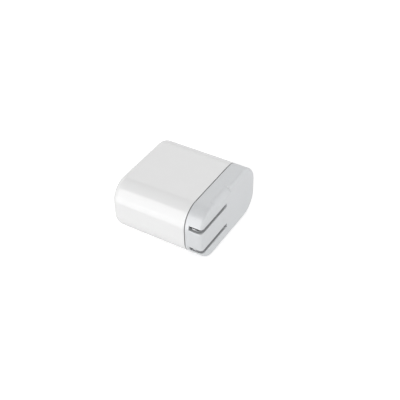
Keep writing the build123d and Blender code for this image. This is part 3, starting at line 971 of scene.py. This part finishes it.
@dataclass
class Receptacle:
    """One USB receptacle: folded metal shell with spring fingers, plastic tongue, gilt contacts."""

    side: str
    metal: float = 0.3 * MM
    corner: float = 0.8 * MM
    corner_segments: int = 6
    leg_from_mouth: float = 6.0 * MM
    leg_half: float = 0.8 * MM
    leg_root: float = 2.0 * MM
    finger_width: float = 2.2 * MM
    finger_length: float = 6.0 * MM
    finger_from_mouth: float = 2.4 * MM
    finger_bulge: float = 0.35 * MM
    finger_offset: float = 3.0 * MM
    finger_gap: float = 0.25 * MM
    finger_inset: float = 0.02 * MM
    finger_cuts: int = 16
    finger_half_waves: float = 1.15
    finger_rebound: float = 0.4
    tongue_half: float = 5.55 * MM
    tongue_thickness: float = 1.84 * MM
    tongue_tip: float = 0.35 * MM
    tongue_root: float = 0.5 * MM
    contact_places: tuple[float, ...] = (-3.5 * MM, -1.0 * MM, 1.0 * MM, 3.5 * MM)
    contact_half: float = 0.6 * MM
    contact_curl: float = 0.1 * MM
    contact_curl_segments: int = 3
    contact_edge: float = 0.03 * MM
    edge: float = 0.06 * MM
    edge_segments: int = 2

    def build_shell(self) -> bpy.types.Object:
        """Builds the metal shell with its legs, and four fingers that bulge into the mouth.

        Returns:
            The finished mesh object.
        """
        low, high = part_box(f"usb_shell_{self.side}")
        tube_low = Vector((low.x, low.y, high.z - USB_HEIGHT))
        tube = rounded_bar(tube_low, high, self.corner, self.corner_segments)
        shell = to_object(tube, f"usb_can_{self.side}")
        room_low = tube_low + Vector((-CLEAR, self.metal, self.metal))
        room_high = high + Vector((CLEAR, -self.metal, -self.metal))
        carve(shell, rounded_bar(room_low, room_high, self.corner - self.metal, self.corner_segments))
        leg_x = low.x + self.leg_from_mouth
        for near in (low.y, high.y - self.metal):
            leg = block(
                Vector((leg_x - self.leg_half, near, low.z)),
                Vector((leg_x + self.leg_half, near + self.metal, tube_low.z + self.leg_root)),
            )
            carve(shell, leg, Cut.ADD)
        middle = (low.y + high.y) / 2
        for lateral in (-1, 1):
            for outer, inward in ((high.z, -1), (tube_low.z, 1)):
                self.add_finger(shell, middle + lateral * self.finger_offset, low.x, outer, inward)
        soften(shell, self.edge, self.edge_segments)
        return shell

    def add_finger(self, shell: bpy.types.Object, y: float, mouth: float, outer: float, inward: int) -> None:
        """Cuts a window in the shell's wall and sets a bowed finger in it.

        Args:
            shell: the piece to change.
            y: the finger's middle across the mouth.
            mouth: the mouth's place along X.
            outer: the wall's outer face.
            inward: 1 where the inside lies above the wall, -1 below.
        """
        start, half, gap = mouth + self.finger_from_mouth, self.finger_width / 2, self.finger_gap
        walls = sorted((outer - inward * CLEAR / 2, outer + inward * (self.metal + CLEAR / 2)))
        window = block(
            Vector((start, y - half - gap, walls[0])),
            Vector((start + self.finger_length, y + half + gap, walls[1])),
        )
        carve(shell, window)
        inset = self.finger_inset
        faces = sorted((outer + inward * inset, outer + inward * (self.metal - inset)))
        finger = block(
            Vector((start + gap, y - half, faces[0])),
            Vector((start + self.finger_length + gap, y + half, faces[1])),
        )
        length_edges = edges_along(finger, 0)
        bmesh.ops.subdivide_edges(finger, edges=length_edges, cuts=self.finger_cuts, use_grid_fill=True)
        for vert in finger.verts:
            wave = sin((vert.co.x - start - gap) / self.finger_length * pi * self.finger_half_waves)
            vert.co.z += inward * self.finger_bulge * max(wave, -self.finger_rebound)
        carve(shell, finger, Cut.ADD)

    def build_tongue(self) -> bpy.types.Object:
        """Builds the plastic block and the tongue, with its tip thinned for the plug.

        Returns:
            The finished mesh object.
        """
        low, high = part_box(f"usb_tongue_{self.side}")
        strips_low, strips_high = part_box(f"usb_contacts_{self.side}")
        back = block(Vector((strips_high.x, low.y, low.z)), high)
        tongue = to_object(back, f"usb_insulator_{self.side}")
        middle = (low.y + high.y) / 2
        bottom = (strips_low.z + strips_high.z) / 2
        root, top = strips_high.x + self.tongue_root, bottom + self.tongue_thickness
        plate = block(
            Vector((low.x, middle - self.tongue_half, bottom)), Vector((root, middle + self.tongue_half, top))
        )
        bevel(plate, edges_at(plate, 0, low.x), self.tongue_tip, 1)
        carve(tongue, plate, Cut.ADD)
        soften(tongue, self.edge, self.edge_segments)
        return tongue

    def build_contacts(self) -> bpy.types.Object:
        """Builds the four gilt strips, which curl up at the tongue's tip.

        Returns:
            The finished mesh object.
        """
        low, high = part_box(f"usb_contacts_{self.side}")
        middle, half = (low.y + high.y) / 2, self.contact_half
        strips = bmesh.new()
        for place in self.contact_places:
            near, far = middle + place - half, middle + place + half
            add_block(strips, Vector((low.x, near, low.z)), Vector((high.x, far, high.z)))
        curled = [e for e in edges_at(strips, 0, low.x) if e.verts[0].co.z < low.z + NEAR]
        bevel(strips, curled, self.contact_curl, self.contact_curl_segments)
        contacts = to_object(strips, f"usb_gilt_strips_{self.side}")
        soften(contacts, self.contact_edge, self.edge_segments)
        return contacts

    def build(self, metal: bpy.types.Material, plastic: bpy.types.Material, gilt: bpy.types.Material) -> None:
        """Builds and dresses the receptacle.

        Args:
            metal: the shell's finish.
            plastic: the tongue's finish.
            gilt: the contacts' finish.
        """
        finish_piece(self.build_shell(), metal, f"usb_shell_{self.side}", Body.CHARGER)
        finish_piece(self.build_tongue(), plastic, f"usb_tongue_{self.side}", Body.CHARGER)
        finish_piece(self.build_contacts(), gilt, f"usb_contacts_{self.side}", Body.CHARGER)


def dress_cad_nodes() -> None:
    """Gives every carried-over CAD node the finish of its material slot."""
    made = {slot: finish.material() for slot, finish in CAD_FINISHES.items()}
    for name, node in frame["nodes"].items():
        node.data.materials.clear()
        node.data.materials.append(made[SLOTS[name]])
    LOG.info("dressed %d CAD nodes in %d finishes", len(frame["nodes"]), len(made))


# ---------------------------------------------------------------- studio
@dataclass(frozen=True)
class SoftBox:
    """One rectangular soft light, in metres and watts.

    A card shows only in the charger's gloss (lights is off), and a fill only lights it (reflects is off).
    """

    name: str
    place: tuple[float, float, float]
    aim: tuple[float, float, float]
    width: float
    height: float
    power: float
    lights: bool = True
    reflects: bool = True

    def hang(self) -> None:
        """Sets up the light."""
        data = bpy.data.lights.new(self.name, "AREA")
        data.shape, data.size, data.size_y, data.energy = "RECTANGLE", self.width, self.height, self.power
        light = bpy.data.objects.new(self.name, data)
        light.location = self.place
        light.rotation_euler = (Vector(self.aim) - Vector(self.place)).to_track_quat("-Z", "Y").to_euler()
        light.visible_camera, light.visible_diffuse, light.visible_glossy = False, self.lights, self.reflects
        bpy.context.scene.collection.objects.link(light)


# Where the fills aim.
MIDDLE = (0.0, 0.0, 0.02)
SOFT_BOXES = (
    # The bright band along the shell's upper round.
    SoftBox("card_at_side", (-0.25, -0.433, 0.28), (0.0, 0.0, 0.28), 0.20, 0.56, 0.68, lights=False),
    # The pale white of the shell's narrow side, below that band.
    SoftBox(
        "low_card_at_side", (-0.03, -0.06, 0.011), (-0.03, 0.0, 0.011), 0.10, 0.022, 0.0133, lights=False
    ),
    # Even light from each side and from above, which gives each face its own tone.
    SoftBox("low_fill_at_side", (-0.1, -0.9, 0.2), MIDDLE, 1.2, 0.4, 2.4, reflects=False),
    SoftBox("fill_at_prong_end", (0.8, 0.2, 0.25), MIDDLE, 0.6, 0.5, 1.02, reflects=False),
    SoftBox("fill_at_port_end", (-0.8, -0.2, 0.25), MIDDLE, 0.6, 0.5, 0.45, reflects=False),
    SoftBox("fill_behind", (0.1, 0.9, 0.2), MIDDLE, 1.2, 0.4, 0.7, reflects=False),
    SoftBox("roof", (0.0, 0.0, 1.5), (0.0, 0.0, 0.0), 2.5, 2.5, 10.1, reflects=False),
)


@dataclass
class Studio:
    """A plain pale sweep, soft lights and the camera.

    The camera's angles are in degrees, and the seam's offsets from its line of sight in metres. Each pair in
    room_glow is a height on the room's wall, from 0 at the horizon to 1 overhead, and how bright it is there.
    The camera sees the room at no less than backdrop, and the floor glowing by floor_look. The charger gets
    only floor_glow from the floor.
    """

    azimuth: float = 32.21
    elevation: float = 40.04
    roll: float = -1.65
    distance: float = 0.3913
    lens_mm: float = 71.775
    sensor_mm: float = 36.0
    nearest: float = 0.01
    furthest: float = 20.0
    seam_right: float = 6.413 * MM
    seam_below: float = 3.042 * MM
    room_glow: tuple[tuple[float, float], ...] = ((0.3, 0.72), (0.4, 1.02), (0.66, 1.02), (0.76, 0.0))
    backdrop: float = 1.1
    floor_half: float = 3.0
    floor_tone: str = "D0D0D0"
    floor_roughness: float = 0.9
    floor_glow: float = 0.19
    floor_look: float = 0.58

    def camera_axes(self) -> tuple[Vector, Vector, Vector]:
        """The camera's right, up and backward directions.

        Returns:
            Three unit vectors in the row frame.
        """
        turn, tilt, roll = (radians(v) for v in (self.azimuth, self.elevation, self.roll))
        back = Vector((sin(turn) * cos(tilt), -cos(turn) * cos(tilt), sin(tilt)))
        right = Vector((0, 0, 1)).cross(back).normalized()
        up = back.cross(right)
        return right * cos(roll) + up * sin(roll), up * cos(roll) - right * sin(roll), back

    def place_camera(self) -> None:
        """Sets the camera, with the seam's middle a little right of and below its line of sight."""
        right, up, back = self.camera_axes()
        low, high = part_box("body_shell")
        seam = Vector((high.x, 0, (low.z + high.z) / 2))
        place = seam + back * self.distance - right * self.seam_right + up * self.seam_below
        data = bpy.data.cameras.new("camera")
        data.sensor_width = self.sensor_mm
        data.lens = self.lens_mm
        data.clip_start, data.clip_end = self.nearest, self.furthest
        camera = bpy.data.objects.new("camera", data)
        bpy.context.scene.collection.objects.link(camera)
        camera.matrix_world = Matrix.Translation(place) @ Matrix((right, up, back)).transposed().to_4x4()
        bpy.context.scene.camera = camera

    def build_floor(self) -> None:
        """Lays the pale matt floor, which looks white and sends the charger less light than it seems to."""
        floor = bmesh.new()
        bmesh.ops.create_grid(floor, x_segments=1, y_segments=1, size=self.floor_half)
        plane = to_object(floor, "floor")
        material, tree = new_material("pale_sweep")
        seen = add_node(tree, "LightPath").outputs["Is Camera Ray"]
        glow = add_node(
            tree, "MapRange", {"To Min": self.floor_glow, "To Max": self.floor_look}, {"Value": seen}
        )
        shader = add_node(
            tree,
            "BsdfPrincipled",
            {
                "Base Color": linear(self.floor_tone),
                "Roughness": self.floor_roughness,
                "Specular IOR Level": 0.0,
                "Emission Color": linear("FFFFFF"),
            },
            {"Emission Strength": glow.outputs["Result"]},
        )
        close_material(tree, shader)
        plane.data.materials.append(material)

    def build_lights(self) -> None:
        """Makes the room, bright round the horizon and dark overhead, and hangs the cards and fills."""
        world = bpy.data.worlds.new("room")
        bpy.context.scene.world = world
        world.use_nodes = True
        tree = world.node_tree
        tree.nodes.clear()
        direction = add_node(tree, "TexCoord").outputs["Generated"]
        height = add_node(tree, "SeparateXYZ", links={"Vector": direction})
        glow = add_node(tree, "ValToRGB", links={"Fac": height.outputs["Z"]})
        stops = glow.color_ramp.elements
        stops.remove(stops[0])
        stops[0].position = 1.0
        stops[0].color = linear("000000")
        for place, level in self.room_glow:
            stops.new(place).color = (level, level, level, 1.0)
        seen = add_node(tree, "LightPath").outputs["Is Camera Ray"]
        backdrop = add_node(tree, "MapRange", {"To Max": self.backdrop}, {"Value": seen})
        strength = add_node(tree, "Math", {"operation": "MAXIMUM"})
        tree.links.new(glow.outputs["Color"], strength.inputs[0])
        tree.links.new(backdrop.outputs["Result"], strength.inputs[1])
        white_light = {"Color": linear("FFFFFF")}
        room = add_node(tree, "Background", white_light, {"Strength": strength.outputs["Value"]})
        add_node(tree, "OutputWorld", links={"Surface": room.outputs["Background"]})
        for box in SOFT_BOXES:
            box.hang()
        bpy.context.scene.view_settings.view_transform = "Standard"


def main() -> None:
    """Builds the charger's visible pieces and the studio."""
    logging.basicConfig(level=logging.INFO, format="%(message)s", stream=sys.stdout)
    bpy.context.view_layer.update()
    dress_cad_nodes()
    Housing().build()
    Plug().build()
    finishes = [CAD_FINISHES[slot].material() for slot in ("port_steel", "port_plastic", "contact_gold")]
    for side in ("right", "left"):
        Receptacle(side).build(*finishes)
    studio = Studio()
    studio.place_camera()
    studio.build_floor()
    studio.build_lights()


if __name__ == "__main__":
    main()
